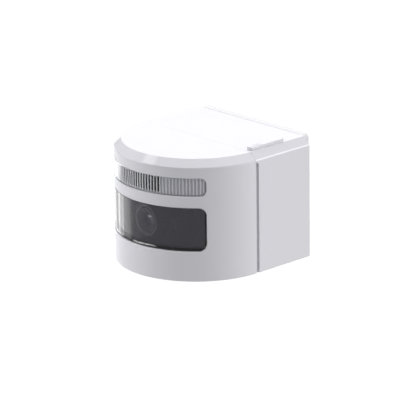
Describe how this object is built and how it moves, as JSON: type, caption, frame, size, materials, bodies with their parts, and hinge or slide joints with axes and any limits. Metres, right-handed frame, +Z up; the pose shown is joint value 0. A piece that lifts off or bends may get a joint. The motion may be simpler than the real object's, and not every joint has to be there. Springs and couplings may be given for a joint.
{
  "type": "floodlight security camera",
  "caption": "Wall-mounted security camera with a half-round front: fluted light strip above a smoked window, panning and tilting camera behind it.",
  "frame": {"origin": "centre of the wall plate's back face, on the wall", "axes": "+Z up, -Y out of the wall towards the half-round front, +X to the viewer's right when facing the front"},
  "size_m": [0.11, 0.1101, 0.0845],
  "materials": {
    "shell": "satin moulded plastic",
    "back": "matt moulded plastic",
    "smoked": "polished smoked polycarbonate",
    "clear": "polished clear polycarbonate",
    "reflector": "semi-gloss light plastic",
    "dark": "matt",
    "rubber": "matt",
    "board": "solder mask",
    "white_board": "white solder mask",
    "aluminium": "satin",
    "steel": "bright",
    "led": "phosphor under clear resin",
    "glass": "coated",
    "blue": "matt"
  },
  "bodies": {
    "wall": {"wall_plate": "back", "hang_stud_left": "steel", "hang_stud_right": "steel", "cable_grommet": "rubber"},
    "housing": {"rear_housing": "shell", "seam_gasket": "rubber", "inner_frame": "dark", "frame_screw_1": "steel", "frame_screw_2": "steel", "frame_screw_3": "steel", "frame_screw_4": "steel", "main_board": "board", "processor_shield": "steel", "radio_shield": "steel", "driver_board": "board", "transformer": "dark", "capacitor": "dark", "terminal_block": "blue", "antenna": "board", "microphone": "steel", "speaker": "dark", "io_board": "board", "card_slot": "steel", "tact_switch": "dark", "heat_sink": "aluminium", "reflector_left": "reflector", "reflector_right": "reflector", "led_board_left": "white_board", "led_board_right": "white_board", "led_left_1": "led", "led_left_2": "led", "led_left_3": "led", "led_right_1": "led", "led_right_2": "led", "led_right_3": "led", "motion_sensor": "steel", "motion_board": "board", "camera_shelf": "back", "pan_motor": "steel"},
    "front": {"front_cover": "shell", "window": "smoked", "strip_lens": "clear", "window_seal": "rubber", "strip_seal": "white_board", "sensor_panel": "dark"},
    "pan": {"pan_shaft": "steel", "camera_yoke": "dark", "tilt_motor": "dark"},
    "camera_head": {"tilt_pin_left": "steel", "tilt_pin_right": "steel", "camera_barrel": "dark", "camera_ring": "dark", "ir_ring": "reflector", "lens_hood": "dark", "lens_glass": "glass", "image_board": "board"},
    "top_latch": {"top_latch": "shell"},
    "reset_button": {"reset_button": "blue"},
    "card_door": {"card_door": "rubber"}
  },
  "joints": [
    {"name": "housing_lift", "type": "slide", "parent": "wall", "child": "housing", "axis": [0, 0, 1], "range_m": [0, 0.008]},
    {"name": "front_pull", "type": "slide", "parent": "housing", "child": "front", "axis": [0, -1, 0], "range_m": [0, 0.012]},
    {"name": "camera_pan", "type": "hinge", "parent": "housing", "child": "pan", "pos_m": [0, -0.0791, -0.0074], "axis": [0, 0, 1], "range_deg": [-30, 30]},
    {"name": "camera_tilt", "type": "hinge", "parent": "pan", "child": "camera_head", "pos_m": [0, -0.0891, -0.0074], "axis": [1, 0, 0], "range_deg": [-12, 12]},
    {"name": "top_latch_slide", "type": "slide", "parent": "housing", "child": "top_latch", "axis": [0, 1, 0], "range_m": [0, 0.003]},
    {"name": "reset_press", "type": "slide", "parent": "housing", "child": "reset_button", "axis": [0, 0, 1], "range_m": [0, 0.0008], "stiffness_N_per_m": 200},
    {"name": "card_door_hinge", "type": "hinge", "parent": "housing", "child": "card_door", "pos_m": [0.033, -0.0219, -0.0419], "axis": [1, 0, 0], "range_deg": [0, 100]}
  ]
}
